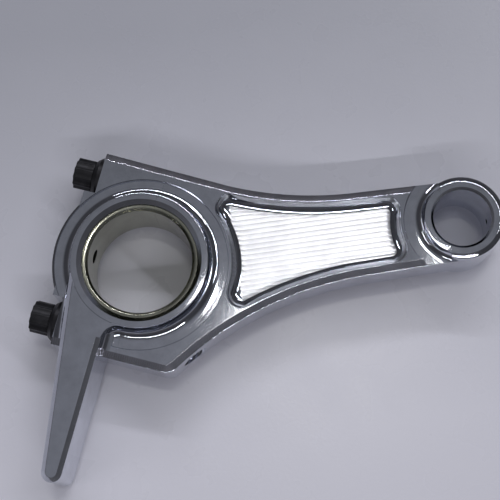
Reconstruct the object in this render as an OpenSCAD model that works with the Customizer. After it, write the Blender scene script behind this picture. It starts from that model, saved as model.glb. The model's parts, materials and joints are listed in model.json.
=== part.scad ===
// Connecting rod of a single-cylinder four-stroke engine, cut from aluminium billet.
// X runs along the rod from the crank bore to the wrist pin bore, Z along the bores.
// The origin is the centre of the crank bore, midway between the two side faces.

/* [Rod] */
// Distance between the centres of the two bores
rod_length = 112; // [93:0.5:135]
// Tilt of the parting face of the cap from square to the rod
split_angle = 22; // [15:0.5:28]

/* [Crank end] */
// Bore of the fitted bearing shells, the crank pin's size
crank_bore_d = 36; // [30:0.1:44]
// Thickness of a bearing shell
shell_wall = 2; // [1.5:0.1:2.4]
// Width of the crank end over its two side faces
crank_end_width = 28; // [24:0.5:34]
// How far a shell's edge stands in from the side face of the rod
shell_recess = 2.2; // [1:0.1:3]
// Chamfer at the mouth of the housing that holds the shells
housing_chamfer = 1.5; // [0.5:0.1:2]
// Wall of the raised ring round the housing
crank_ring_wall = 3.7; // [3:0.1:5]
// From the housing to the outside of the cap
cap_wall = 11.1; // [9.5:0.1:14]
// From the housing to the edge of the turned relief round the ring
relief_wall = 10.2; // [8:0.1:11]
// Depth of the turned reliefs round the rings at both ends
relief_depth = 1; // [0.5:0.1:1.5]

/* [Wrist pin end] */
// Bore for the wrist pin
pin_bore_d = 20; // [16:0.1:24]
// Width of the wrist pin end over its two side faces
pin_end_width = 22; // [18.5:0.5:27]
// Wall of the wrist pin end
pin_wall = 4.6; // [3.8:0.1:6]
// Chamfer at each mouth of the wrist pin bore
pin_chamfer = 0.85; // [0.3:0.05:1.2]
// Chamfer round the outside of the wrist pin end
pin_edge_chamfer = 1.6; // [0.8:0.1:2]
// Oil hole in the tip of the wrist pin end
pin_oil_hole_d = 2; // [1:0.1:3]

/* [Beam] */
// Thickness of the beam and of the bolt shoulders
beam_thickness = 16; // [14:0.5:19]
// Width of the beam where it meets the wrist pin end
beam_end_width = 28.4; // [24:0.2:34]
// Taper of each side of the beam, in degrees
beam_taper = 1.3; // [0:0.1:3]
// Radius of the sweep from the beam into the shoulders
flank_r = 122; // [100:1:146]
// Width of the bevel round the outline
bevel_w = 2.4; // [1.5:0.1:3]
// Depth of the bevel round the outline
bevel_h = 0.8; // [0.4:0.1:1.5]
// Rounding of the outline's outer corners
corner_r = 5; // [3:0.5:6]

/* [Pocket] */
// Depth of the pocket in each side of the beam
pocket_depth = 4.5; // [3:0.1:5.5]
// Radius of the ball cutter that leaves the pocket's curved walls
pocket_ball_r = 5; // [4:0.1:6]
// Land between the pocket and the bevel of the outline
pocket_land = 0.5; // [0.2:0.1:2]
// Land between the pocket and the turned reliefs at its two ends
pocket_end_land = 1.3; // [0.5:0.1:3]

/* [Screws] */
// Thread size of the cap screws
screw_d = 8; // [6.5:0.1:9.6]
// Metal between the housing and a screw's locating sleeve
screw_wall = 2; // [1.5:0.1:3]
// How far both screws stand above the crank bore's centre, along the parting face
screw_shift = 1.3; // [0:0.1:1.4]
// Length of a screw under its head
screw_length = 38; // [34:0.5:44]
// Height of the seats of the screw heads above the parting face
seat_height = 22.6; // [20:0.1:25]
// Metal outside a screw's locating sleeve
lug_rim = 2.6; // [2:0.1:4]
// Lean of the upper shoulder's edge, out towards the cap, in degrees
shoulder_lean = 1.6; // [0:0.1:2.5]
// Depth of the threaded holes in the rod
thread_depth = 21; // [18:0.5:24]
// Clearance of a screw in the cap's hole, on the diameter
screw_clearance = 0.4; // [0.2:0.05:0.8]
// Width of the twelve points of a screw head
head_d = 11.6; // [10:0.1:12.4]
// Height of the twelve-point part of a screw head
head_h = 7; // [5.5:0.1:8.5]
// Diameter of the screw head's flange
flange_d = 14.6; // [12.6:0.1:15]
// Thickness of the screw head's flange
flange_h = 3.2; // [2:0.1:4]
// Wall of a locating sleeve
sleeve_wall = 0.8; // [0.6:0.05:1]
// Length of a locating sleeve, half in the rod and half in the cap
sleeve_length = 10; // [7:0.5:13]
// Fit of every bonded or pressed pair, on the diameter
fit_gap = 0.02; // [0:0.01:0.1]

/* [Oil dipper] */
// Reach of the dipper's tip below the crank bore's centre, along the parting face
dipper_reach = 79.4; // [70:0.2:92]
// Radius of the dipper's tip
dipper_tip_r = 3.5; // [2.5:0.1:4.5]
// Width of the dipper at its root
dipper_root_w = 13.1; // [11:0.1:15]
// Distance of the dipper's straight edge from the parting face
dipper_offset = 5.4; // [4:0.1:6.5]
// Distance of the dipper's side faces in from the side faces of the crank end
dipper_step = 0.6; // [0.3:0.1:2]
// Bevel round the dipper
dipper_bevel = 1.6; // [1:0.1:1.7]
// Oil hole through the cap and its bearing shell
cap_oil_hole_d = 5; // [3:0.1:6]

/* [Hidden] */
$fn = 96;
eps = 0.01;

billet = [0.74, 0.75, 0.78];
lining = [0.55, 0.55, 0.48];
black_oxide = [0.12, 0.12, 0.14];
spring_steel = [0.5, 0.5, 0.52];

// crank end
housing_r = crank_bore_d / 2 + shell_wall;
ring_r = housing_r + crank_ring_wall;
relief_r = housing_r + relief_wall;
cap_r = housing_r + cap_wall;
cove_r = 4;
shell_half = crank_end_width / 2 - shell_recess;
shell_edge_chamfer = 0.85;
relief_z = beam_thickness / 2 - relief_depth;

// wrist pin end
pin_ring_wall = pin_wall - pin_edge_chamfer;
pin_ring_r = pin_bore_d / 2 + pin_ring_wall;
pin_r = pin_bore_d / 2 + pin_wall;
pin_cove_r = min(3.5, pin_end_width / 2 - relief_z);
pin_relief_flat = 3.3;
pin_relief_r = pin_ring_r + pin_cove_r + pin_relief_flat;
pin_edge_depth = 0.7;
// the side of the ring is coved on the beam's side of this line, and goes straight down past it
pin_cove_x = -0.45 * pin_ring_r;

// screws, their sleeves and the shoulders round them
hole_r = (screw_d + screw_clearance) / 2;
sleeve_r = hole_r + sleeve_wall;
screw_u = housing_r + screw_wall + sleeve_r;
lug_half = screw_u + sleeve_r + lug_rim;
// a seat is a little wider than the flange on it
seat_margin = 0.4;
function screw_at(side) = side * screw_u + screw_shift;
function seat_inner(side) = abs(screw_at(side)) - flange_d / 2 - seat_margin;

// beam side: the sweep is tangent to the shoulder's edge and to the beam's tapered side
end_half = beam_end_width / 2;
pin_cove_y = end_half - 0.3;
cs = cos(split_angle);
sn = sin(split_angle);
tt = tan(beam_taper);
side_y0 = end_half + rod_length * tt;
flank_x = (lug_half + flank_r - cs * (side_y0 + flank_r / cos(beam_taper))) / (sn - cs * tt);
flank_y = side_y0 - flank_x * tt + flank_r / cos(beam_taper);
flank_top = [flank_x - flank_r * sn, flank_y - flank_r * cs];
// the upper shoulder's edge leaves the sweep here and leans out towards the cap
flank_top_b = flank_top[0] * cs - flank_top[1] * sn;
function lug_top(b) = lug_half + (flank_top_b - b) * tan(shoulder_lean);
// the lower shoulder ends where its edge meets the mirrored sweep
low_b = cs * flank_x + sn * flank_y;
low_u = sn * flank_x - cs * flank_y;

function from_split(b, u) = [b * cs + u * sn, -b * sn + u * cs];
function unit(v) = v / norm(v);

module along_split() { rotate([0, 0, -split_angle]) children(); }

// everything on the rod's side of the parting face, or on the cap's side
module rod_side() { along_split() translate([0, -200, -50]) cube([300, 400, 100]); }
module cap_side() { along_split() translate([-300, -200, -50]) cube([300, 400, 100]); }

// --- closed loft through rings of points, each counter-clockwise from above, lowest ring first ---

module loft(rings) {
  n = len(rings[0]);
  top = len(rings) - 1;
  walls = [for (k = [0:top - 1], i = [0:n - 1]) let (j = (i + 1) % n)
    each [[k * n + i, (k + 1) * n + i, (k + 1) * n + j], [k * n + i, (k + 1) * n + j, k * n + j]]];
  polyhedron(points = [for (ring = rings) each ring],
             faces = concat([[for (i = [0:n - 1]) i]], walls, [[for (i = [n - 1:-1:0]) top * n + i]]));
}

// one ring of an outline that is a list of [point, outward normal], moved out by d and lifted to z
function ring_at(outline, d, z) = [for (p = outline) [p[0][0] + d * p[1][0], p[0][1] + d * p[1][1], z]];

// a plate with straight walls and a bevel w wide and h deep round both faces; the two tapers that cut
// the bevels meet outside the walls at mid-height and run a little past the faces
module bevelled_plate(outline, half, w, h) {
  past = 0.2;
  tip = ring_at(outline, -(1 + past) * w, half + past * h);
  intersection() {
    translate([0, 0, -half]) linear_extrude(2 * half) polygon([for (p = outline) p[0]]);
    loft([[for (p = tip) [p[0], p[1], -p[2]]], ring_at(outline, w * (half / h - 1), 0), tip]);
  }
}

// --- side of the beam: the sweep, then the tapered straight, moved in towards the middle by inset ---

// the sweep runs out into the straight taper at this x
function sweep_end(inset) = flank_x - (flank_r + inset) * sin(beam_taper);
function on_sweep(x, inset) = x < sweep_end(inset);
function side_y(x, inset) = on_sweep(x, inset)
  ? flank_y - sqrt(pow(flank_r + inset, 2) - pow(x - flank_x, 2))
  : side_y0 - x * tt - inset / cos(beam_taper);
function side_normal(x, inset) = on_sweep(x, inset)
  ? unit([flank_x - x, flank_y - side_y(x, inset)])
  : [sin(beam_taper), cos(beam_taper)];
function upper_side(x, inset) = [[x, side_y(x, inset)], side_normal(x, inset)];
function flip(p) = [[p[0][0], -p[0][1]], [p[1][0], -p[1][1]]];

// --- outline of the rod, from the parting face round the wrist pin end and back ---

low_corner_u = -lug_half + corner_r;
low_corner_b = low_b - sqrt(pow(flank_r + corner_r, 2) - pow(low_u - low_corner_u, 2));
low_corner_turn = atan2(low_u - low_corner_u, low_b - low_corner_b);
low_end = from_split(low_b + (low_corner_b - low_b) * flank_r / (flank_r + corner_r),
                     low_u + (low_corner_u - low_u) * flank_r / (flank_r + corner_r));
past_split = 5;
side_steps = 24;
corner_steps = 8;

function low_corner(a) = [from_split(low_corner_b + corner_r * cos(a), low_corner_u + corner_r * sin(a)),
                          from_split(cos(a), sin(a))];

function upper_edge(b) = [from_split(b, lug_top(b)), from_split(sin(shoulder_lean), cos(shoulder_lean))];
function lower_edge(b) = [from_split(b, -lug_half), from_split(0, -1)];

rod_outline = concat(
  [lower_edge(-past_split)],
  [for (i = [0:corner_steps - 1]) low_corner(-90 + (low_corner_turn + 90) * i / corner_steps)],
  [for (i = [0:side_steps]) flip(upper_side(low_end[0] + (sweep_end(0) - low_end[0]) * i / side_steps, 0))],
  [flip(upper_side(rod_length, 0)), upper_side(rod_length, 0)],
  [for (i = [side_steps:-1:0]) upper_side(flank_top[0] + (sweep_end(0) - flank_top[0]) * i / side_steps, 0)],
  [upper_edge(-past_split)]);

module rod_plate() { bevelled_plate(rod_outline, beam_thickness / 2, bevel_w, bevel_h); }

// the cap's plate: a bevelled disc with a bevelled bar across it for the two screws
module cap_plate() {
  half = beam_thickness / 2;
  past = 4;
  rotate_extrude() polygon([[0, -half], [cap_r - bevel_w, -half], [cap_r, bevel_h - half],
                            [cap_r, half - bevel_h], [cap_r - bevel_w, half], [0, half]]);
  bevelled_plate([lower_edge(-seat_height - past), lower_edge(past), upper_edge(past),
                  upper_edge(-seat_height - past)], half, bevel_w, bevel_h);
}

// the seats: the plate is cut off square where the screw heads bear
module seat_cuts() {
  along_split() for (side = [-1, 1]) {
    translate([-seat_height - 60, side > 0 ? seat_inner(side) : -seat_inner(side) - 60, -50])
      cube([60, 60, 100]);
  }
}

// --- raised ring round a bore, with a cove at its foot, and the turned relief round it ---

module ring_boss(r, half, cove, foot_z) {
  rotate_extrude() difference() {
    translate([0, -half]) square([r + cove, 2 * half]);
    for (side = [-1, 1]) {
      translate([r + cove, side * (foot_z + cove)]) circle(r = cove);
      translate([r, side > 0 ? foot_z + cove : -half - 1]) square([cove + 1, half + 1 - foot_z - cove]);
    }
  }
}

module turned_relief(r, foot_z) {
  for (side = [0, 1]) mirror([0, 0, side]) translate([0, 0, foot_z]) cylinder(r = r, h = 30);
}

module housing_bore() {
  cylinder(r = housing_r, h = 2 * crank_end_width, center = true);
  for (side = [0, 1]) mirror([0, 0, side]) translate([0, 0, crank_end_width / 2 - housing_chamfer])
    cylinder(r1 = housing_r, r2 = housing_r + 2 * housing_chamfer, h = 2 * housing_chamfer);
}

// --- pockets in the beam, as a ball cutter leaves them ---

pocket_inset = bevel_w + pocket_land + pocket_ball_r;
pocket_start_r = relief_r + pocket_end_land + pocket_ball_r;
pocket_end_r = pin_relief_r + pocket_end_land + pocket_ball_r;

function turn(a) = [cos(a), sin(a)];
function normal_angle(p) = atan2(p[1][1], p[1][0]);
function inset_radius(cx, x) = norm([x - cx, side_y(x, pocket_inset)]);

// halving search for the x where the inset side of the beam is r away from the centre at cx
function crossing(cx, r, near, far, n = 40) = let (x = (near + far) / 2)
  n == 0 ? x : inset_radius(cx, x) < r ? crossing(cx, r, x, far, n - 1) : crossing(cx, r, near, x, n - 1);

pocket_x1 = crossing(0, pocket_start_r, 0, pocket_start_r);
pocket_x2 = crossing(rod_length, pocket_end_r, rod_length, rod_length - pocket_end_r);
start_a = atan2(side_y(pocket_x1, pocket_inset), pocket_x1);
end_a = atan2(side_y(pocket_x2, pocket_inset), rod_length - pocket_x2);
pocket_steps = 16;
pocket_bend = min(sweep_end(pocket_inset), pocket_x2 - 1);

pocket_high_side = concat([upper_side(pocket_x2, pocket_inset)],
  [for (i = [pocket_steps - 1:-1:0])
    upper_side(pocket_x1 + (pocket_bend - pocket_x1) * i / (pocket_steps - 1), pocket_inset)]);
pocket_low_side = [for (i = [pocket_steps:-1:0]) flip(pocket_high_side[i])];
pocket_end_arc = [for (i = [0:8]) let (a = end_a * (1 - i / 4))
  [[rod_length, 0] - pocket_end_r * turn(a), turn(a)]];
pocket_start_arc = [for (i = [0:12]) let (a = start_a * (1 - i / 6))
  [pocket_start_r * turn(a), -turn(a)]];

// a corner of the pocket's floor stays sharp while its wall turns round it
function corner_fan(p, a1, a2) = [for (i = [1:5]) [p, turn(a1 + (a2 - a1) * i / 6)]];

pocket_outline = concat(
  pocket_low_side,
  corner_fan(pocket_end_arc[0][0], normal_angle(pocket_low_side[pocket_steps]), end_a),
  pocket_end_arc,
  corner_fan(pocket_high_side[0][0], -end_a, normal_angle(pocket_high_side[0])),
  pocket_high_side,
  corner_fan(pocket_start_arc[0][0], normal_angle(pocket_high_side[pocket_steps]), 180 + start_a),
  pocket_start_arc,
  corner_fan(pocket_low_side[0][0], 180 - start_a, 360 + normal_angle(pocket_low_side[0])));

module pocket() {
  floor_z = beam_thickness / 2 - pocket_depth;
  below = 0.4;
  intersection() {
    loft(concat(
      [ring_at(pocket_outline, 0.1, floor_z - below)],
      [for (a = [22, 38, 54, 70, 90])
        ring_at(pocket_outline, pocket_ball_r * sin(a), floor_z + pocket_ball_r * (1 - cos(a)))],
      [ring_at(pocket_outline, pocket_ball_r, floor_z + 2 * pocket_ball_r)]));
    translate([0, -beam_end_width, floor_z]) cube([rod_length, 2 * beam_end_width, 3 * pocket_ball_r]);
  }
}

// --- oil dipper, one piece with the cap; b is across the blade and u along it, from the parting face ---

dipper_tip = [-dipper_offset - dipper_tip_r, -dipper_reach + dipper_tip_r];
dipper_root = [-dipper_offset - dipper_root_w, -lug_half];
root_from_tip = dipper_root - dipper_tip;
// direction square to the slanted edge, which is tangent to the rounded tip
slant_a = atan2(root_from_tip[1], root_from_tip[0]) + acos(dipper_tip_r / norm(root_from_tip));
slant_foot = dipper_tip + dipper_tip_r * turn(slant_a);
// the blade runs up into the raised ring
dipper_top_u = -housing_r / 2;
slant_top = dipper_root
  + (dipper_root - slant_foot) * (dipper_top_u - dipper_root[1]) / (dipper_root[1] - slant_foot[1]);

dipper_outline = concat(
  [[slant_top, turn(slant_a)]],
  [for (i = [0:16]) let (a = slant_a + (360 - slant_a) * i / 16)
    [dipper_tip + dipper_tip_r * turn(a), turn(a)]],
  [[[-dipper_offset, dipper_top_u], [1, 0]]]);

module dipper() {
  along_split() bevelled_plate(dipper_outline, crank_end_width / 2 - dipper_step, dipper_bevel, dipper_bevel);
}

// --- whole rod before it is split ---

module screw_hole(r, from_b, to_b, side) {
  along_split() translate([from_b, screw_at(side), 0]) rotate([0, 90, 0]) cylinder(r = r, h = to_b - from_b);
}

module sleeve_bore(side) {
  screw_hole(sleeve_r + fit_gap / 2, -sleeve_length / 2 - 0.2, sleeve_length / 2 + 0.2, side);
}

module crank_boss() { ring_boss(ring_r, crank_end_width / 2, cove_r, relief_z); }

module rod_body() color(billet) difference() {
  union() {
    difference() {
      intersection() {
        rod_plate();
        rod_side();
      }
      turned_relief(relief_r, relief_z);
      translate([rod_length, 0, 0]) turned_relief(pin_relief_r, relief_z);
      for (side = [0, 1]) mirror([0, 0, side]) pocket();
    }
    intersection() {
      crank_boss();
      rod_side();
    }
    translate([rod_length, 0, 0]) pin_end();
  }
  housing_bore();
  translate([rod_length, 0, 0]) {
    cylinder(d = pin_bore_d, h = 2 * pin_end_width, center = true);
    for (side = [0, 1]) mirror([0, 0, side]) translate([0, 0, pin_end_width / 2 - pin_chamfer])
      cylinder(r1 = pin_bore_d / 2, r2 = pin_bore_d / 2 + 2 * pin_chamfer, h = 2 * pin_chamfer);
    rotate([0, 90, 0]) cylinder(d = pin_oil_hole_d, h = 2 * pin_r, $fn = 24);
  }
  for (side = [-1, 1]) {
    // the lower hole runs out through the flank of the shoulder
    screw_hole(screw_d / 2, -1, side > 0 ? thread_depth : thread_depth + 20, side);
    sleeve_bore(side);
  }
}

// the wrist pin end: a chamfered ring, with a cove at its foot towards the beam
module pin_end() {
  half = pin_end_width / 2;
  intersection() {
    rotate_extrude() polygon([[0, -half], [pin_ring_r, -half], [pin_r, -half + pin_edge_depth],
                              [pin_r, half - pin_edge_depth], [pin_ring_r, half], [0, half]]);
    translate([pin_cove_x, -pin_r - 1, -half - 1]) cube([2 * pin_r, 2 * pin_r + 2, 2 * half + 2]);
  }
  intersection() {
    ring_boss(pin_ring_r, half, pin_cove_r, relief_z);
    translate([pin_cove_x - 2 * pin_r, -pin_cove_y, -half - 1])
      cube([2 * pin_r, 2 * pin_cove_y, 2 * half + 2]);
  }
}

module rod_cap() color(billet) difference() {
  intersection() {
    union() {
      difference() {
        cap_plate();
        turned_relief(relief_r, relief_z);
      }
      crank_boss();
      dipper();
    }
    cap_side();
  }
  seat_cuts();
  housing_bore();
  for (side = [-1, 1]) {
    screw_hole(hole_r, -seat_height - 10, 1, side);
    sleeve_bore(side);
  }
  along_split() rotate([0, -90, 0]) cylinder(d = cap_oil_hole_d, h = cap_r + 5, $fn = 32);
}

// --- bearing shells ---

module shell_ring() {
  inner = crank_bore_d / 2;
  outer = housing_r - fit_gap / 2;
  c = shell_edge_chamfer;
  rotate_extrude() polygon([[inner, -shell_half + c], [inner + c, -shell_half], [outer, -shell_half],
                            [outer, shell_half], [inner + c, shell_half], [inner, shell_half - c]]);
}

module rod_bearing_shell() color(lining) intersection() {
  shell_ring();
  rod_side();
}

module cap_bearing_shell() color(lining) difference() {
  intersection() {
    shell_ring();
    cap_side();
  }
  along_split() rotate([0, -90, 0]) cylinder(d = cap_oil_hole_d, h = cap_r, $fn = 32);
}

// --- twelve-point flange screw, drawn along +X from under its head ---

module cap_screw(side) {
  color(black_oxide) along_split() translate([-seat_height, screw_at(side), 0]) rotate([0, 90, 0]) {
    shank_r = screw_d / 2 - fit_gap;
    translate([0, 0, -eps]) cylinder(r = shank_r, h = screw_length - 1 + eps);
    translate([0, 0, screw_length - 1]) cylinder(r1 = shank_r, r2 = shank_r - 1, h = 1);
    translate([0, 0, -flange_h / 2]) cylinder(d = flange_d, h = flange_h / 2);
    translate([0, 0, -flange_h]) cylinder(d1 = head_d + 0.4, d2 = flange_d, h = flange_h / 2);
    translate([0, 0, -flange_h - head_h]) linear_extrude(head_h + eps) for (turn = [0, 30])
      rotate(turn) circle(d = head_d, $fn = 6);
  }
}

module upper_cap_screw() { cap_screw(1); }
module lower_cap_screw() { cap_screw(-1); }

module locating_sleeve(side) {
  color(spring_steel) along_split() translate([-sleeve_length / 2, screw_at(side), 0]) rotate([0, 90, 0])
    difference() {
      cylinder(r = sleeve_r - fit_gap / 2, h = sleeve_length);
      translate([0, 0, -1]) cylinder(r = hole_r, h = sleeve_length + 2);
    }
}

module upper_locating_sleeve() { locating_sleeve(1); }
module lower_locating_sleeve() { locating_sleeve(-1); }

rod_body();
rod_cap();
rod_bearing_shell();
cap_bearing_shell();
upper_cap_screw();
lower_cap_screw();
upper_locating_sleeve();
lower_locating_sleeve();
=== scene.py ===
import json
import math

import bmesh
import bpy
from mathutils import Matrix, Vector


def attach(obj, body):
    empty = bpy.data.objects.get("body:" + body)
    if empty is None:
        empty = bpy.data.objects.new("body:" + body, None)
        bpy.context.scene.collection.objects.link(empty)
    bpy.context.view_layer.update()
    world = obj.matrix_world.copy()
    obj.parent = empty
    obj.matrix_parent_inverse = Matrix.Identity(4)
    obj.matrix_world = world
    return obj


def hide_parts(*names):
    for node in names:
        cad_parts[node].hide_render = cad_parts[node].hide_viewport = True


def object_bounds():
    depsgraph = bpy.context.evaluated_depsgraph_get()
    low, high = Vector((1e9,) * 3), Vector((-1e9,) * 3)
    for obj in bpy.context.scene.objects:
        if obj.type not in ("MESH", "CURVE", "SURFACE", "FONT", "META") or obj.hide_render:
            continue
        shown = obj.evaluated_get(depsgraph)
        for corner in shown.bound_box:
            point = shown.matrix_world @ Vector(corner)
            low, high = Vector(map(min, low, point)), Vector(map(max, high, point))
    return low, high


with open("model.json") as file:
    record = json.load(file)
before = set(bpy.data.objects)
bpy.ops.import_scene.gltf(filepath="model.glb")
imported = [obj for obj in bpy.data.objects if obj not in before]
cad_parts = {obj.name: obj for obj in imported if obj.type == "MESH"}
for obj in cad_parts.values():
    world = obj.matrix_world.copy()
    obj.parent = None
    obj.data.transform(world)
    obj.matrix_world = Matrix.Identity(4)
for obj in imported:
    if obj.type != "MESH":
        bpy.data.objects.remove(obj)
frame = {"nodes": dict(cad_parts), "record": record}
cad_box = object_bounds()
scene = bpy.context.scene
scene.view_settings.view_transform = "Standard"

# ---------------------------------------------------------------------------------------------
# Camera: a little in front of the crank end and above it, looking down at the rod on a table,
# turned so that the rod runs up to the right.
# ---------------------------------------------------------------------------------------------

camera_data = bpy.data.cameras.new("camera")
camera_data.sensor_width = 36
camera_data.lens = 86.4
camera_data.clip_start = 0.01
camera = bpy.data.objects.new("camera", camera_data)
scene.collection.objects.link(camera)
camera_place = Vector((0.03712, -0.10148, 0.41068))
camera_aim = Vector((0.03805, 0.00142, 0))
camera_top = Vector((0.1359, 0.9609, 0.2411))
camera_back = (camera_place - camera_aim).normalized()
camera_right = camera_top.cross(camera_back).normalized()
camera_up = camera_back.cross(camera_right)
camera.matrix_world = Matrix.Translation(camera_place) @ Matrix(
    (camera_right, camera_up, camera_back)).transposed().to_4x4()
scene.camera = camera

# ---------------------------------------------------------------------------------------------
# Table: a smooth pale grey laminate top, wiped but not polished, so that lamps show in it softly.
# Its colour is painted paler towards its near side, painted light for the light falling there. The rod lies
# on it.
# ---------------------------------------------------------------------------------------------

table_reach = 3
table_z = cad_box[0].z - 0.00002
table_mesh = bpy.data.meshes.new("table")
table_mesh.from_pydata([(x * table_reach, y * table_reach, table_z)
                        for x, y in ((-1, -1), (1, -1), (1, 1), (-1, 1))], [], [(0, 1, 2, 3)])
table = bpy.data.objects.new("table", table_mesh)
scene.collection.objects.link(table)


def add_node(tree, kind, inputs=(), **settings):
    """Adds a node to a tree. An input that is given a socket is linked to it, and any other is set."""
    node = tree.nodes.new(kind)
    for name, value in settings.items():
        setattr(node, name, value)
    for name, value in dict(inputs).items():
        if isinstance(value, bpy.types.NodeSocket):
            tree.links.new(value, node.inputs[name])
        else:
            node.inputs[name].default_value = value
    return node


class Nodes:
    """The nodes of one material: its patterns, and the shader that they go to."""

    def __init__(self, material):
        material.use_nodes = True
        self.tree = material.node_tree
        self.shader = self.tree.nodes["Principled BSDF"]
        self.place = self.add("ShaderNodeTexCoord").outputs["Object"]

    def add(self, kind, inputs=(), **settings):
        return add_node(self.tree, kind, inputs, **settings)

    def moved(self, shift=(0, 0, 0), stretch=(1, 1, 1), turn=0):
        node = self.add("ShaderNodeMapping", {"Vector": self.place, "Location": shift,
                                              "Rotation": (0, 0, turn), "Scale": stretch})
        return node.outputs["Vector"]

    def noise(self, scale, detail=3, vector=None, rough=0.5):
        return self.add("ShaderNodeTexNoise", {"Vector": vector or self.place, "Scale": scale,
                                               "Detail": detail, "Roughness": rough}).outputs["Fac"]

    def grooves(self, pitch, vector, kind="BANDS", wobble=0.0, axis="X", shape="SIN"):
        node = self.add("ShaderNodeTexWave", {"Vector": vector, "Scale": math.pi / 10 / pitch,
                                              "Distortion": wobble, "Detail": 2, "Detail Scale": 1.5},
                        wave_type=kind, wave_profile=shape)
        node.bands_direction = axis
        node.rings_direction = "Z"
        return node.outputs["Fac"]

    def scallops(self, pitch, axis):
        rise = self.grooves(pitch, self.moved(), "BANDS", 0.05, axis, "TRI")
        return self.add("ShaderNodeMath", {0: rise, 1: 2.0}, operation="POWER").outputs[0]

    def sum(self, *pairs):
        total = None
        for socket, share in pairs:
            part = self.add("ShaderNodeMath", {0: socket, 1: share}, operation="MULTIPLY").outputs[0]
            total = part if total is None else self.add("ShaderNodeMath", {0: total, 1: part}).outputs[0]
        return total

    def span(self, socket, low, high):
        node = self.add("ShaderNodeMapRange", {"Value": socket, "To Min": low, "To Max": high})
        return node.outputs["Result"]

    def ramp(self, socket, stops):
        node = self.add("ShaderNodeValToRGB", {"Fac": socket})
        while len(node.color_ramp.elements) < len(stops):
            node.color_ramp.elements.new(0.5)
        for element, (at, colour) in zip(node.color_ramp.elements, stops):
            element.position = at
            element.color = (*colour, 1)
        return node.outputs["Color"]

    def set(self, **sockets):
        for name, value in sockets.items():
            socket = self.shader.inputs[name.replace("_", " ")]
            if isinstance(value, bpy.types.NodeSocket):
                self.tree.links.new(value, socket)
            else:
                socket.default_value = value

    def bump(self, height, depth):
        node = self.add("ShaderNodeBump", {"Height": height, "Distance": depth, "Strength": 1.0})
        self.set(Normal=node.outputs["Normal"])


laminate = bpy.data.materials.new("table laminate")
n = Nodes(laminate)
# painted light: from the near side of the table, where this is 0 and the colour is painted palest, to its
# far side
painted_light_across_table = n.add("ShaderNodeSeparateXYZ", {
    "Vector": n.moved(shift=(0, 0.13, 0), stretch=(1, 2.8, 1))}).outputs["Y"]
n.set(Base_Color=n.ramp(n.sum((n.noise(9, 4), 0.1), (painted_light_across_table, 1.0)),
                        [(0.0, (0.80, 0.80, 0.87)), (0.45, (0.48, 0.49, 0.54)), (1.0, (0.36, 0.37, 0.42))]),
      Roughness=n.span(n.noise(60, 3), 0.24, 0.32), Specular_IOR_Level=0.5)
n.bump(n.noise(900, 2), 0.00002)
table.data.materials.append(laminate)

# ---------------------------------------------------------------------------------------------
# Lamps: thin ceiling tubes, three in rows beyond the rod, one behind the viewer and one at the
# left. The bright lines on the metal's edges are their reflections, and the room itself is dim.
# ---------------------------------------------------------------------------------------------

rod_middle = Vector((0.045, 0, 0))


def lamp(name, place, long, wide, power, colour):
    """A tube, turned to face the rod with its long side level."""
    data = bpy.data.lights.new(name, "AREA")
    data.shape = "RECTANGLE"
    data.size = long
    data.size_y = wide
    data.energy = power
    data.color = colour
    one = bpy.data.objects.new(name, data)
    scene.collection.objects.link(one)
    one.location = place
    one.rotation_euler = (Vector(place) - rod_middle).to_track_quat("Z", "Y").to_euler()


lamp("near tube", (0.17, 0.31, 2.2), 0.30, 0.10, 2.5, (1, 0.99, 0.95))
lamp("second tube", (1.2, 0.95, 2.2), 3.2, 0.05, 17, (0.94, 0.94, 1))
lamp("third tube", (0.5, 1.96, 2.2), 2.4, 0.05, 16, (0.93, 0.93, 1))
lamp("tube behind", (0, -1.9, 2.2), 2.4, 0.05, 18, (0.96, 0.95, 1))
lamp("left tube", (-2.4, -0.4, 1.5), 1.2, 0.05, 8, (0.95, 0.94, 1))

room = bpy.data.worlds.new("room")
scene.world = room
room.use_nodes = True
sky = room.node_tree
height = add_node(sky, "ShaderNodeSeparateXYZ", {
    "Vector": add_node(sky, "ShaderNodeTexCoord").outputs["Generated"]}).outputs["Z"]
walls = add_node(sky, "ShaderNodeValToRGB", {"Fac": height})
shades = walls.color_ramp.elements
shades.remove(shades[1])
shades[0].color = (0.12, 0.12, 0.13, 1)
for at, colour in ((0.35, (0.05, 0.05, 0.055)), (0.80, (0.05, 0.05, 0.056)), (0.93, (0.15, 0.155, 0.17)),
                   (0.985, (0.20, 0.205, 0.23))):
    shades.new(at).color = (*colour, 1)
sky.links.new(walls.outputs["Color"], sky.nodes["Background"].inputs["Color"])

# ---------------------------------------------------------------------------------------------
# Rod body: one piece of aluminium. Its outline, faces and bevels are milled, the pocket in each
# side is cut with a ball-nosed cutter, and the rings and reliefs round the bores are turned.
# ---------------------------------------------------------------------------------------------

mounts = {mount["name"]: mount for mount in frame["record"]["mounts"]}


def level_mm(name):
    """How far a mount's face lies above the middle of the rod, in millimetres."""
    return round(1000 * mounts[name]["pos_m"][2], 3)


rod_length = round(1000 * mounts["wrist_pin_bore"]["pos_m"][0], 3)
pin_bore_r = mounts["wrist_pin_bore"]["dims"]["r_mm"]
shell_r = mounts["crank_bore"]["dims"]["r_mm"]
crank_half, pin_half = level_mm("crank_end_face_top"), level_mm("pin_end_face_top")
housing_r = shell_r + 2
ring_r, relief_r = housing_r + 3.7, housing_r + 10.2
pin_ring_r, pin_r, pin_relief_r = pin_bore_r + 3, pin_bore_r + 4.6, pin_bore_r + 9.8
plate_half, relief_z = 8, 7
cove_r, pin_cove_r = 4, 3.5
lug_half, upper_screw, lower_screw = 34.6, 28.3, -25.7
flank_r, end_half = 122, 14.2
split, lean, taper = math.radians(22), math.radians(1.6), math.radians(1.3)
split_cos, split_sin = math.cos(split), math.sin(split)
# half of the gap at the parting face, and a distance that is past every part of the rod
joint_gap, past = 0.02, 200
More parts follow.
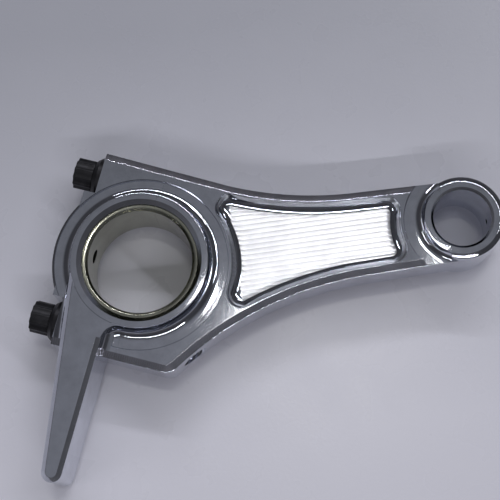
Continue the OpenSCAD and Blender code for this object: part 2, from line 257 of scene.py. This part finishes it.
# edge of a milled face, from the face down to the side wall: distance out, and depth under the face
bevel_edge = [(-2.55, 0), (-2.36, 0.04), (-0.2, 0.76), (-0.05, 0.87), (0, 1.05)]


def from_split(across, along):
    return (across * split_cos + along * split_sin, -across * split_sin + along * split_cos)


def turned(angle):
    return (math.cos(angle), math.sin(angle))


def solid(name, points, faces):
    mesh = bpy.data.meshes.new(name)
    mesh.from_pydata(points, [], faces)
    shell = bmesh.new()
    shell.from_mesh(mesh)
    bmesh.ops.remove_doubles(shell, verts=shell.verts, dist=1e-5)
    bmesh.ops.recalc_face_normals(shell, faces=shell.faces)
    shell.to_mesh(mesh)
    shell.free()
    piece = bpy.data.objects.new(name, mesh)
    scene.collection.objects.link(piece)
    return piece


def loft(name, rings):
    count, top = len(rings[0]), len(rings) - 1
    faces = [tuple(range(count))[::-1], tuple(top * count + i for i in range(count))]
    for k in range(top):
        for i in range(count):
            j = (i + 1) % count
            faces.append((k * count + i, k * count + j, (k + 1) * count + j, (k + 1) * count + i))
    return solid(name, [p for ring in rings for p in ring], faces)


def ring_at(outline, out, z):
    return [(p[0] + out * q[0], p[1] + out * q[1], z) for p, q in outline]


def edged_plate(name, outline, half, edge):
    levels = [(out, half - down) for out, down in edge]
    levels = levels + [(out, -z) for out, z in levels[::-1]]
    return loft(name, [ring_at(outline, out, z) for out, z in levels[::-1]])


def lathe(name, profile, centre=(0, 0), steps=256):
    """A closed profile of (radius, height) points, turned round an upright line."""
    count = len(profile)
    points, faces = [], []
    for k in range(steps):
        x, y = turned(2 * math.pi * k / steps)
        points += [(centre[0] + r * x, centre[1] + r * y, z) for r, z in profile]
        for i in range(count):
            a, b = k * count + i, k * count + (i + 1) % count
            c, d = ((k + 1) % steps) * count + (i + 1) % count, ((k + 1) % steps) * count + i
            faces.append((a, b, c, d))
    return solid(name, points, faces)


def both_ways(half_profile):
    """The upper half of a profile, from the axis out, and its mirror below."""
    return half_profile + [(r, -z) for r, z in half_profile[::-1]]


def block(low, high):
    corners = [(x, y, z) for z in (low[2], high[2]) for x, y in
               ((low[0], low[1]), (high[0], low[1]), (high[0], high[1]), (low[0], high[1]))]
    return solid("block", corners, [(3, 2, 1, 0), (4, 5, 6, 7), (0, 1, 5, 4), (1, 2, 6, 5), (2, 3, 7, 6),
                                    (3, 0, 4, 7)])


def split_block(low, high):
    """A block whose first axis is square to the parting face and whose second runs along it."""
    one = block(low, high)
    one.data.transform(Matrix.Rotation(-split, 4, "Z"))
    return one


def rod_side():
    return split_block((joint_gap, -past, -past), (past, past, past))


def cap_side():
    return split_block((-past, -past, -past), (-joint_gap, past, past))


def shaped(piece, tool, operation):
    cut = piece.modifiers.new("shape", "BOOLEAN")
    cut.operation = operation
    cut.solver = "MANIFOLD"
    cut.object = tool
    result = bpy.data.meshes.new_from_object(piece.evaluated_get(bpy.context.evaluated_depsgraph_get()))
    piece.modifiers.clear()
    piece.data = result
    bpy.data.objects.remove(tool)
    return piece


def joined(piece, *tools):
    for tool in tools:
        shaped(piece, tool, "UNION")
    return piece


def less(piece, *tools):
    for tool in tools:
        shaped(piece, tool, "DIFFERENCE")
    return piece


def common(piece, *tools):
    for tool in tools:
        shaped(piece, tool, "INTERSECT")
    return piece


def plain(radius, start, end):
    return [(0, start), (radius, start), (radius, end), (0, end)]


def thread(crest, root, pitch, start, end):
    turns = int((end - start) / pitch)
    rings = [(r, start + (k + share) * pitch)
             for k in range(turns) for r, share in ((root, 0), (crest, 0.5))]
    return [(0, start)] + rings + [(root, start + turns * pitch), (0, start + turns * pitch)]


def cross_bore(profile, along, steps=48):
    """A cutter square to the parting face, that far along it from the crank bore's centre."""
    one = lathe("cross bore", profile, steps=steps)
    one.data.transform(Matrix.Rotation(math.pi / 2, 4, "Y"))
    one.data.transform(Matrix.Translation((0, along, 0)))
    one.data.transform(Matrix.Rotation(-split, 4, "Z"))
    return one


# the sweep is tangent to the shoulder's edge and to the tapered side of the beam
side_y0 = end_half + rod_length * math.tan(taper)
flank_x = ((lug_half + flank_r - split_cos * (side_y0 + flank_r / math.cos(taper)))
           / (split_sin - split_cos * math.tan(taper)))
flank_y = side_y0 - flank_x * math.tan(taper) + flank_r / math.cos(taper)


def sweep_end(inset):
    return flank_x - (flank_r + inset) * math.sin(taper)


def upper_side(x, inset):
    if x < sweep_end(inset):
        y = flank_y - math.sqrt((flank_r + inset) ** 2 - (x - flank_x) ** 2)
        normal = Vector((flank_x - x, flank_y - y)).normalized()
    else:
        y = side_y0 - x * math.tan(taper) - inset / math.cos(taper)
        normal = Vector((math.sin(taper), math.cos(taper)))
    return ((x, y), (normal.x, normal.y))


def flipped(p):
    return ((p[0][0], -p[0][1]), (p[1][0], -p[1][1]))


def steps(start, end, count):
    return [start + (end - start) * i / count for i in range(count + 1)]


corner_r = 5
low_across = split_cos * flank_x + split_sin * flank_y
low_along = split_sin * flank_x - split_cos * flank_y
corner_along = corner_r - lug_half
corner_across = low_across - math.sqrt((flank_r + corner_r) ** 2 - (low_along - corner_along) ** 2)
corner_turn = math.atan2(low_along - corner_along, low_across - corner_across)
share = flank_r / (flank_r + corner_r)
low_end = from_split(low_across + (corner_across - low_across) * share,
                     low_along + (corner_along - low_along) * share)
flank_top = flank_x - flank_r * split_sin
flank_top_across = flank_top * split_cos - (flank_y - flank_r * split_cos) * split_sin


def upper_edge(across):
    """The upper shoulder's edge leans out towards the cap."""
    return (from_split(across, lug_half + (flank_top_across - across) * math.tan(lean)),
            from_split(math.sin(lean), math.cos(lean)))


def lower_edge(across):
    return (from_split(across, -lug_half), from_split(0, -1))


past_split = 5
rod_outline = [lower_edge(-past_split)]
for a in steps(-math.pi / 2, corner_turn, 16)[:-1]:
    x, y = turned(a)
    rod_outline.append((from_split(corner_across + corner_r * x, corner_along + corner_r * y),
                        from_split(x, y)))
rod_outline += [flipped(upper_side(x, 0)) for x in steps(low_end[0], sweep_end(0), 64)]
rod_outline += [flipped(upper_side(rod_length, 0)), upper_side(rod_length, 0)]
rod_outline += [upper_side(x, 0) for x in steps(flank_top, sweep_end(0), 64)[::-1]]
rod_outline += [upper_edge(-past_split)]

# the pocket's floor keeps sharp corners while its wall turns round them
ball_r, pocket_floor = 5, 3.5
bevel_w, side_land, end_land = 2.4, 0.5, 1.3
inset = bevel_w + side_land + ball_r
start_r, end_r = relief_r + end_land + ball_r, pin_relief_r + end_land + ball_r


def meeting(centre_x, radius, near, far):
    for _ in range(40):
        x = (near + far) / 2
        short = math.hypot(x - centre_x, upper_side(x, inset)[0][1]) < radius
        near, far = (x, far) if short else (near, x)
    return near


pocket_from = meeting(0, start_r, 0, start_r)
pocket_to = meeting(rod_length, end_r, rod_length, rod_length - end_r)
start_a = math.atan2(upper_side(pocket_from, inset)[0][1], pocket_from)
end_a = math.atan2(upper_side(pocket_to, inset)[0][1], rod_length - pocket_to)
bend = min(sweep_end(inset), pocket_to - 1)
high_side = [upper_side(x, inset) for x in [pocket_to] + steps(pocket_from, bend, 40)[::-1]]
low_side = [flipped(p) for p in high_side[::-1]]
end_arc = [((rod_length - end_r * math.cos(a), -end_r * math.sin(a)), turned(a))
           for a in steps(end_a, -end_a, 20)]
start_arc = [((start_r * math.cos(a), start_r * math.sin(a)), turned(a + math.pi))
             for a in steps(start_a, -start_a, 30)]


def fan(p, before, after):
    a, b = (math.atan2(q[1][1], q[1][0]) for q in (before, after))
    b += 2 * math.pi if b < a else 0
    return [(p[0], turned(angle)) for angle in steps(a, b, 12)[1:-1]]


pocket_outline = (low_side + fan(end_arc[0], low_side[-1], end_arc[0]) + end_arc
                  + fan(high_side[0], end_arc[-1], high_side[0]) + high_side
                  + fan(start_arc[0], high_side[-1], start_arc[0]) + start_arc
                  + fan(low_side[0], start_arc[-1], low_side[0]))


def on_side(one, side):
    """Turns a cutter made for the upper face over for the lower one, where side is -1."""
    if side < 0:
        one.data.transform(Matrix.Diagonal((1, 1, -1, 1)))
        one.data.flip_normals()
    return one


def pocket(side):
    levels = [(ball_r * math.sin(a), pocket_floor + ball_r * (1 - math.cos(a)))
              for a in steps(math.radians(3), math.radians(80), 13)]
    # the wall's top edge is broken a little
    levels += [(ball_r - 0.04, plate_half - 0.25), (ball_r + 0.2, plate_half + 0.04),
               (ball_r + 0.2, plate_half + 4)]
    return on_side(loft("pocket", [ring_at(pocket_outline, out, z) for out, z in levels]), side)


def cove(centre_r, centre_z, radius, count=14):
    return [(centre_r + radius * math.cos(a), centre_z + radius * math.sin(a))
            for a in steps(math.pi, 1.5 * math.pi, count)]


crank_cove = cove(ring_r + cove_r, relief_z + cove_r, cove_r)
# where a turned relief cuts the face of the plate, its edge is broken: distance out, and height
relief_lip = [(0, plate_half - 0.18), (0.3, plate_half + 0.1), (0.3, plate_half + 12)]


def crank_disc():
    """The raised ring with its broken edge, its cove, and the turned floor round it."""
    ring = [(0, crank_half), (ring_r - 0.28, crank_half), (ring_r - 0.1, crank_half - 0.05),
            (ring_r, crank_half - 0.2)]
    turned_floor = [(relief_r + 0.4, relief_z), (relief_r + 0.4, 0.1)]
    return lathe("crank disc", both_ways(ring + crank_cove + turned_floor), steps=360)


def relief_bore():
    """Clears the plates away where the crank disc goes."""
    upper_lip = [(relief_r + out, z) for out, z in relief_lip]
    return lathe("relief", both_ways([(0, plate_half + 12)] + upper_lip[::-1]), steps=360)


def pin_relief(side):
    """Cuts the turned floor round the wrist pin end, with a small radius at its foot."""
    foot = [(0, relief_z), (pin_relief_r - 0.12, relief_z), (pin_relief_r, relief_z + 0.12)]
    lip = [(pin_relief_r + out, z) for out, z in relief_lip]
    return on_side(lathe("relief", foot + lip + [(0, plate_half + 12)], pin_centre, 300), side)


def bore(radius, chamfer, half, centre=(0, 0)):
    """A bore with a chamfer at each mouth."""
    mouth = [(0, half + 2), (radius + chamfer + 2, half + 2), (radius + chamfer + 0.05, half + 0.05)]
    return lathe("bore", both_ways(mouth + [(radius, half - chamfer)]), centre, 360)


pin_centre = (rod_length, 0)
housing_chamfer, pin_chamfer = 1.5, 0.85
# the ring's side goes straight down past this line, and is coved on the beam's side of it
cove_from = rod_length - 0.45 * pin_ring_r
pin_edge = [(pin_ring_r - 0.28, pin_half), (pin_ring_r - 0.02, pin_half - 0.05),
            (pin_r - 0.15, pin_half - 0.63), (pin_r - 0.03, pin_half - 0.73), (pin_r, pin_half - 0.9),
            (pin_r, 0.1)]
pin_tip = common(lathe("pin end", both_ways([(0, pin_half)] + pin_edge), pin_centre, 300),
                 block((cove_from, -past, -past), (past, past, past)))
root_edge = [(pin_ring_r - 0.25, pin_half), (pin_ring_r - 0.07, pin_half - 0.05),
             (pin_ring_r, pin_half - 0.15)]
root_foot = [(pin_ring_r + pin_cove_r + 0.1, relief_z - 0.1), (pin_ring_r + pin_cove_r + 0.1, 0.1)]
root_edge += cove(pin_ring_r + pin_cove_r, relief_z + pin_cove_r, pin_cove_r) + root_foot
pin_root = common(lathe("pin root", both_ways([(0, pin_half)] + root_edge), pin_centre, 300),
                  block((-past, -past, -past), (cove_from + 0.05, past, past)),
                  loft("beam", [ring_at(rod_outline, -0.02, z) for z in (-pin_half - 4, pin_half + 4)]))

rod = edged_plate("rod_body_finished", rod_outline, plate_half, bevel_edge)
less(rod, relief_bore(), pocket(1), pocket(-1), pin_relief(1), pin_relief(-1))
joined(rod, crank_disc(), pin_root, pin_tip)
common(rod, rod_side())
less(rod, bore(housing_r, housing_chamfer, crank_half), bore(pin_bore_r, pin_chamfer, pin_half, pin_centre))
# the lower threaded hole runs out through the flank of the shoulder
thread_crest, thread_root, thread_pitch, thread_depth = 3.55, 4.05, 1.25, 21
less(rod, cross_bore(thread(thread_crest, thread_root, thread_pitch, -2, thread_depth), upper_screw),
     cross_bore(thread(thread_crest, thread_root, thread_pitch, -2, 2 * thread_depth), lower_screw))
oil_r = 1
oil_hole = lathe("oil hole", [(0, 0), (oil_r, 0), (oil_r, pin_r - 0.5), (oil_r + 0.6, pin_r + 0.4),
                              (0, pin_r + 0.4)], steps=32)
oil_hole.data.transform(Matrix.Translation((rod_length, 0, 0)) @ Matrix.Rotation(math.pi / 2, 4, "Y"))
less(rod, oil_hole)


def finish(piece, sharp=28, materials=(), choose=None):
    """Scales a piece from millimetres to metres, sets its shading and hands out its materials."""
    weld, sliver = 2e-7, 1e-7
    mesh = piece.data
    mesh.transform(Matrix.Scale(0.001, 4))
    tidy = bmesh.new()
    tidy.from_mesh(mesh)
    bmesh.ops.remove_doubles(tidy, verts=tidy.verts, dist=weld)
    bmesh.ops.dissolve_degenerate(tidy, edges=tidy.edges, dist=sliver)
    tidy.to_mesh(mesh)
    tidy.free()
    mesh.shade_smooth()
    mesh.set_sharp_from_angle(angle=math.radians(sharp))
    weigh = piece.modifiers.new("weigh", "WEIGHTED_NORMAL")
    weigh.keep_sharp = True
    weigh.weight = 80
    done = bpy.data.meshes.new_from_object(piece.evaluated_get(bpy.context.evaluated_depsgraph_get()))
    piece.modifiers.clear()
    piece.data = done
    done.materials.clear()
    for material in materials:
        done.materials.append(material)
    if choose:
        for face in done.polygons:
            face.material_index = choose(face.center * 1000, face.normal)


def aluminium(name, colour, marks, depth, rough=(0.055, 0.085)):
    """Bare machined aluminium. marks(n) gives the height of the cutter's marks."""
    material = bpy.data.materials.new(name)
    n = Nodes(material)
    light = tuple(min(1, 1.06 * c) for c in colour)
    dark = tuple(0.9 * c for c in colour)
    n.set(Metallic=1.0, Base_Color=n.ramp(n.noise(160, 5, rough=0.6), [(0.32, dark), (0.68, light)]))
    scratches = n.noise(420, 2, n.moved(stretch=(1, 0.06, 1), turn=0.9))
    wear = n.sum((n.noise(300, 4), 0.6), (scratches, 0.4))
    n.set(Roughness=n.span(wear, rough[0], rough[1]))
    n.bump(n.sum((marks(n), 1.0), (scratches, 0.25)), depth)
    return material


billet = (0.66, 0.68, 0.74)
# the face cutter's arcs are centred here, off the rod
cutter_arcs = (-0.16, 0.05, 0)
milled = aluminium("milled aluminium", billet, lambda n: n.sum(
    (n.grooves(0.00055, n.moved(shift=cutter_arcs), "RINGS", 0.4), 0.7),
    (n.grooves(0.0021, n.moved(shift=cutter_arcs), "RINGS", 0.8), 0.6)), 0.0000022)
turned_crank = aluminium("turned crank end", billet, lambda n: n.sum(
    (n.grooves(0.0004, n.moved(), "RINGS", 0.05), 0.8),
    (n.grooves(0.0013, n.moved(), "RINGS", 0.1), 0.3)), 0.000003)
turned_pin = aluminium("turned pin end", billet, lambda n: n.grooves(
    0.0004, n.moved(shift=(-rod_length / 1000, 0, 0)), "RINGS", 0.05), 0.000005)
ribbed = aluminium("bevel cutter marks", (0.6, 0.6, 0.66), lambda n: n.grooves(
    0.0006, n.moved(), "BANDS", 0.3), 0.00001, (0.1, 0.16))
# the pocket floor is the same billet aluminium with its colour painted paler: a painted highlight for the
# near tube's light on the rough floor, on top of the real highlight its roughness catches
painted_lit_floor = aluminium("pocket floor", (0.93, 0.94, 0.95), lambda n: n.sum(
    (n.scallops(0.0018, "Y"), 1.0), (n.grooves(0.00045, n.moved(), "BANDS", 0.5, "Y"), 0.12)),
    0.00022, (0.26, 0.34))
bored = aluminium("bored aluminium", billet, lambda n: n.grooves(0.0003, n.moved(), "BANDS", 0.02, "Z"),
                  0.000004, (0.09, 0.14))
rod_materials = (milled, turned_crank, turned_pin, ribbed, painted_lit_floor, bored)


def in_crank_disc(from_crank):
    return from_crank < relief_r + 0.4


def is_bore_wall(from_crank, up):
    return from_crank < housing_r + 0.3 and up < 0.5


def is_bevel(up, level):
    return 0.9 < up < 0.985 and relief_z - 0.1 < level < plate_half


def rod_finish(c, normal):
    """The material of a face of the rod, from its centre and normal, as an index of rod_materials."""
    from_crank, from_pin, level = math.hypot(c.x, c.y), math.hypot(c.x - rod_length, c.y), abs(c.z)
    up = abs(normal.z)
    if relief_r + 2.8 < c.x and from_pin > pin_relief_r + 0.2 and level < pocket_floor + 0.25 and up > 0.95:
        return 4
    if in_crank_disc(from_crank):
        return 5 if is_bore_wall(from_crank, up) else 1
    if from_pin < pin_relief_r + 0.3 and (up > 0.1 or from_pin < pin_ring_r + 0.2):
        return 2
    return 3 if is_bevel(up, level) else 0


finish(rod, 28, rod_materials, rod_finish)
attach(rod, "root")
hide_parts("rod_body")

# ---------------------------------------------------------------------------------------------
# Cap: the other half of the crank end, cut from the same metal, with two shoulders for the
# screws and a long tapered dipper that throws oil.
# ---------------------------------------------------------------------------------------------

cap_r, seat_height, upper_seat, lower_seat = housing_r + 11.1, 22.6, 20.6, -18
disc_edge = [(cap_r + out, plate_half - down) for out, down in bevel_edge] + [(cap_r, 0.1)]
cap = lathe("rod_cap_finished", both_ways([(0, plate_half)] + disc_edge), steps=360)
bar_from, bar_to = -seat_height - 4, 4
bar_outline = [lower_edge(bar_from), lower_edge(bar_to), upper_edge(bar_to), upper_edge(bar_from)]
joined(cap, edged_plate("bar", bar_outline, plate_half, bevel_edge))
less(cap, relief_bore())

dipper_half, tip_r, dipper_offset, dipper_reach, root_w = 13.4, 3.5, 5.4, 79.4, 13.1
tip = Vector((-dipper_offset - tip_r, tip_r - dipper_reach))
root = Vector((-dipper_offset - root_w, -lug_half))
slant_a = math.atan2(root.y - tip.y, root.x - tip.x) + math.acos(tip_r / (root - tip).length)
foot = tip + tip_r * Vector(turned(slant_a))
top_along = -housing_r / 2
slant_top = root + (root - foot) * (top_along - root.y) / (root.y - foot.y)
dipper_outline = [(from_split(*slant_top), from_split(*turned(slant_a)))]
for a in steps(slant_a, 2 * math.pi, 32):
    x, y = turned(a)
    dipper_outline.append((from_split(tip.x + tip_r * x, tip.y + tip_r * y), from_split(x, y)))
dipper_outline.append((from_split(-dipper_offset, top_along), from_split(1, 0)))
dipper_edge = [(-1.72, 0), (-1.55, 0.05), (-0.1, 1.5), (0, 1.75)]
dipper = edged_plate("dipper", dipper_outline, dipper_half, dipper_edge)

# a cutter's radius is left where the dipper stands on the shoulder
root_r = 3.5
flare = [(root_r - math.sqrt(root_r ** 2 - (root_r - z) ** 2), plate_half + z)
         for z in steps(0.01, root_r, 12)]
flare = [(flare[0][0], 0)] + flare + [(-0.3, plate_half + root_r + 0.2)]
shoulder_from, shoulder_to = (-seat_height + 0.1, -lug_half + bevel_w, -20), (-0.05, 0, 20)
for side in (1, -1):
    levels = [(out, side * z) for out, z in flare]
    skirt = loft("root radius", [ring_at(dipper_outline, out, z) for out, z in levels[::side]])
    joined(dipper, common(skirt, split_block(shoulder_from, shoulder_to)))

# the same cutter leaves a round corner where it turns from the ring down the dipper's straight edge
turn_r = 5.5
turn_across = turn_r - dipper_offset
turn_along = -math.sqrt((ring_r + turn_r) ** 2 - turn_across ** 2)
ring_side = math.atan2(-turn_along, -turn_across)
corner = [((turn_across + turn_r * math.cos(a), turn_along + turn_r * math.sin(a)),
           (-math.cos(a), -math.sin(a))) for a in steps(ring_side, math.pi, 16)]
corner = [(from_split(*p), from_split(*q)) for p, q in corner]
# the fill's other three corners lie inside the dipper and the ring
inside_dipper, inside_ring = -dipper_offset - 3, -21
corner += [(from_split(across, along), (0, 0)) for across, along in
           ((inside_dipper, turn_along), (inside_dipper, inside_ring), (turn_across * 0.8, inside_ring))]
fill_edge = [(r - ring_r, z) for r, z in crank_cove[::-1]]
fill_edge = [(fill_edge[0][0], 5)] + fill_edge + [(0, dipper_half)]
for side in (1, -1):
    fill = loft("corner", [ring_at(corner, out, side * z) for out, z in fill_edge[::side]])
    joined(cap, common(fill, split_block((inside_dipper, -60, -20), (3, 0, 20))))
joined(cap, crank_disc(), dipper)
common(cap, cap_side())
# the screw holes and the oil hole: radius, and where they start and end, square to the parting face
screw_hole, cap_oil_hole = plain(4.2, -40, 3), plain(2.5, -45, 0)
less(cap, split_block((-past, upper_seat, -past), (-seat_height, past, past)),
     split_block((-past, -past, -past), (-seat_height, lower_seat, past)),
     bore(housing_r, housing_chamfer, crank_half),
     cross_bore(screw_hole, upper_screw), cross_bore(screw_hole, lower_screw),
     cross_bore(cap_oil_hole, 0, 40))
cap_materials = (milled, turned_crank, bored, ribbed)


def cap_finish(c, normal):
    """The material of a face of the cap, as an index of cap_materials. The dipper's faces are milled."""
    from_crank, up = math.hypot(c.x, c.y), abs(normal.z)
    on_dipper = c.y < -22 and abs(c.z) > plate_half + 0.2
    if in_crank_disc(from_crank) and not on_dipper:
        return 2 if is_bore_wall(from_crank, up) else 1
    return 3 if is_bevel(up, abs(c.z)) else 0


finish(cap, 28, cap_materials, cap_finish)
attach(cap, "root")
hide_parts("rod_cap")

# ---------------------------------------------------------------------------------------------
# Bearing shells: two half rings, steel-backed or solid bearing alloy, dull grey with an olive
# cast, pressed into the housing and set back from its faces. The cap's shell has an oil hole.
# ---------------------------------------------------------------------------------------------

alloy = bpy.data.materials.new("bearing alloy")
n = Nodes(alloy)
n.set(Metallic=1.0,
      Base_Color=n.ramp(n.noise(130, 4), [(0.3, (0.38, 0.38, 0.31)), (0.7, (0.48, 0.48, 0.40))]),
      Roughness=n.span(n.noise(500, 3), 0.12, 0.2))
n.bump(n.grooves(0.0003, n.moved(), "BANDS", 0.05, "Z"), 0.000004)
shell_back, shell_half = housing_r - 0.02, 11.8
# from the bore over the chamfered edge to the back
shell_edge = [(shell_r, shell_half - 1.2), (shell_r + 0.04, shell_half - 1),
              (shell_r + 0.82, shell_half - 0.05), (shell_r + 0.95, shell_half),
              (shell_back - 0.18, shell_half), (shell_back, shell_half - 0.15)]
for name, half in (("rod_bearing_shell", rod_side), ("cap_bearing_shell", cap_side)):
    shell = common(lathe(name + "_finished", both_ways(shell_edge), steps=300), half())
    if name == "cap_bearing_shell":
        less(shell, cross_bore(cap_oil_hole, 0, 40))
    finish(shell, 28, (alloy,))
    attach(shell, "root")
    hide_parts(name)

# ---------------------------------------------------------------------------------------------
# Cap screws: two black-oxide steel screws with a flange and a twelve-point head, screwed into the
# rod from the cap's side. One tree makes both: head, flange, shank, and a ridge wound as the thread.
# ---------------------------------------------------------------------------------------------

black_oxide = bpy.data.materials.new("black oxide steel")
n = Nodes(black_oxide)
n.set(Metallic=0.6,
      Base_Color=n.ramp(n.noise(300, 4), [(0.35, (0.012, 0.012, 0.014)), (0.75, (0.03, 0.03, 0.034))]),
      Roughness=n.span(n.noise(700, 3), 0.32, 0.5))
n.bump(n.noise(2500, 3), 0.000008)

screw_tree = bpy.data.node_groups.new("twelve-point flange screw", "GeometryNodeTree")
sockets = screw_tree.interface
sockets.new_socket("Geometry", in_out="OUTPUT", socket_type="NodeSocketGeometry")
for label, value in (("Head Width", 11.6), ("Head Height", 7.0), ("Flange Width", 14.6),
                     ("Flange Height", 3.2), ("Shank Width", 7.96), ("Shank Length", 37.5),
                     ("Thread Pitch", thread_pitch)):
    sockets.new_socket(label, in_out="INPUT", socket_type="NodeSocketFloat").default_value = value
steel = sockets.new_socket("Steel", in_out="INPUT", socket_type="NodeSocketMaterial")
given = screw_tree.nodes.new("NodeGroupInput").outputs


def grow(kind, inputs=(), **settings):
    return add_node(screw_tree, kind, inputs, **settings).outputs[0]


def times(length, share):
    return grow("ShaderNodeMath", {0: length, 1: share}, operation="MULTIPLY")


def raised(geometry, z):
    return grow("GeometryNodeTransform", {"Geometry": geometry,
                                          "Translation": grow("ShaderNodeCombineXYZ", {"Z": z})})


def together(*pieces):
    join = add_node(screw_tree, "GeometryNodeJoinGeometry")
    for one in pieces:
        screw_tree.links.new(one, join.inputs[0])
    return join.outputs[0]


# the head: twelve points pushed up from a flat star, with that star turned over to close it below
valley_share, cone_share = 0.895, 0.53
point_r = times(given["Head Width"], 0.5)
star = grow("GeometryNodeCurveStar", {"Points": 12, "Outer Radius": point_r,
                                      "Inner Radius": times(point_r, valley_share)})
star_face = grow("GeometryNodeFillCurve", {"Curve": star})
upwards = grow("ShaderNodeCombineXYZ", {"Z": given["Head Height"]})
points = grow("GeometryNodeExtrudeMesh", {"Mesh": star_face, "Individual": False, "Offset": upwards})
head = grow("GeometryNodeMergeByDistance", {
    "Geometry": together(points, grow("GeometryNodeFlipFaces", {"Mesh": star_face})), "Distance": 0.0005})

# the flange: a straight rim for half of its height, and a cone up to the head for the other half
flange_r, half_flange = times(given["Flange Width"], 0.5), times(given["Flange Height"], 0.5)
rim = raised(grow("GeometryNodeMeshCylinder", {"Vertices": 96, "Radius": flange_r, "Depth": half_flange}),
             times(half_flange, 0.5))
cone = grow("GeometryNodeMeshCone", {"Vertices": 96, "Radius Bottom": flange_r, "Depth": half_flange,
                                     "Radius Top": times(given["Head Width"], cone_share)})

# the shank: a core as wide as the thread's root, and a square ridge wound round its lower part
ridge_depth, plain_share, threaded_share = 0.55, 0.44, 0.55
core_r = grow("ShaderNodeMath", {0: times(given["Shank Width"], 0.5), 1: ridge_depth}, operation="SUBTRACT")
core = grow("GeometryNodeMeshCylinder", {"Vertices": 48, "Radius": core_r, "Depth": given["Shank Length"]})
shank = raised(core, times(given["Shank Length"], -0.5))
threaded = times(given["Shank Length"], threaded_share)
turns = grow("ShaderNodeMath", {0: threaded, 1: given["Thread Pitch"]}, operation="DIVIDE")
spiral = grow("GeometryNodeCurveSpiral", {"Resolution": 32, "Rotations": turns, "Start Radius": core_r,
                                          "End Radius": core_r, "Height": times(threaded, -1)})
spiral = raised(spiral, times(given["Shank Length"], -plain_share))
ridge = grow("GeometryNodeCurvePrimitiveCircle", {"Resolution": 4, "Radius": ridge_depth - 0.03})
ridges = grow("GeometryNodeCurveToMesh", {"Curve": spiral, "Profile Curve": ridge, "Fill Caps": True})

head, cone = raised(head, given["Flange Height"]), raised(cone, half_flange)
real = grow("GeometryNodeRealizeInstances", {"Geometry": together(head, cone, rim, shank, ridges)})
coated = grow("GeometryNodeSetMaterial", {"Geometry": real, "Material": given["Steel"]})
screw_tree.links.new(coated, screw_tree.nodes.new("NodeGroupOutput").inputs[0])

for name, along in (("upper_cap_screw", upper_screw), ("lower_cap_screw", lower_screw)):
    blank = bpy.data.objects.new(name + "_finished", bpy.data.meshes.new(name))
    scene.collection.objects.link(blank)
    grown = blank.modifiers.new("screw", "NODES")
    grown.node_group = screw_tree
    grown[steel.identifier] = black_oxide
    made = bpy.data.meshes.new_from_object(blank.evaluated_get(bpy.context.evaluated_depsgraph_get()))
    blank.modifiers.clear()
    blank.data = made
    # from upright, head up, to lying square to the parting face with the head on its seat
    made.transform(Matrix.Rotation(-split, 4, "Z") @ Matrix.Translation((-seat_height, along, 0))
                   @ Matrix.Rotation(-math.pi / 2, 4, "Y"))
    edge = blank.modifiers.new("edge", "BEVEL")
    edge.width = 0.22
    edge.segments = 2
    edge.limit_method = "ANGLE"
    edge.angle_limit = math.radians(50)
    finish(blank, 35, (black_oxide,))
    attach(blank, "root")
    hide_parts(name)

# ---------------------------------------------------------------------------------------------
# Locating sleeves: two ground steel rings round the screws, half in the rod and half in the cap,
# out of sight once the cap is on.
# ---------------------------------------------------------------------------------------------

ground_steel = bpy.data.materials.new("ground steel")
n = Nodes(ground_steel)
n.set(Metallic=1.0,
      Base_Color=n.ramp(n.noise(400, 3), [(0.3, (0.42, 0.42, 0.44)), (0.7, (0.52, 0.52, 0.54))]),
      Roughness=n.span(n.noise(800, 3), 0.2, 0.32))
n.bump(n.noise(3000, 2), 0.000003)
for name in ("upper_locating_sleeve", "lower_locating_sleeve"):
    frame["nodes"][name].data.materials.clear()
    frame["nodes"][name].data.materials.append(ground_steel)
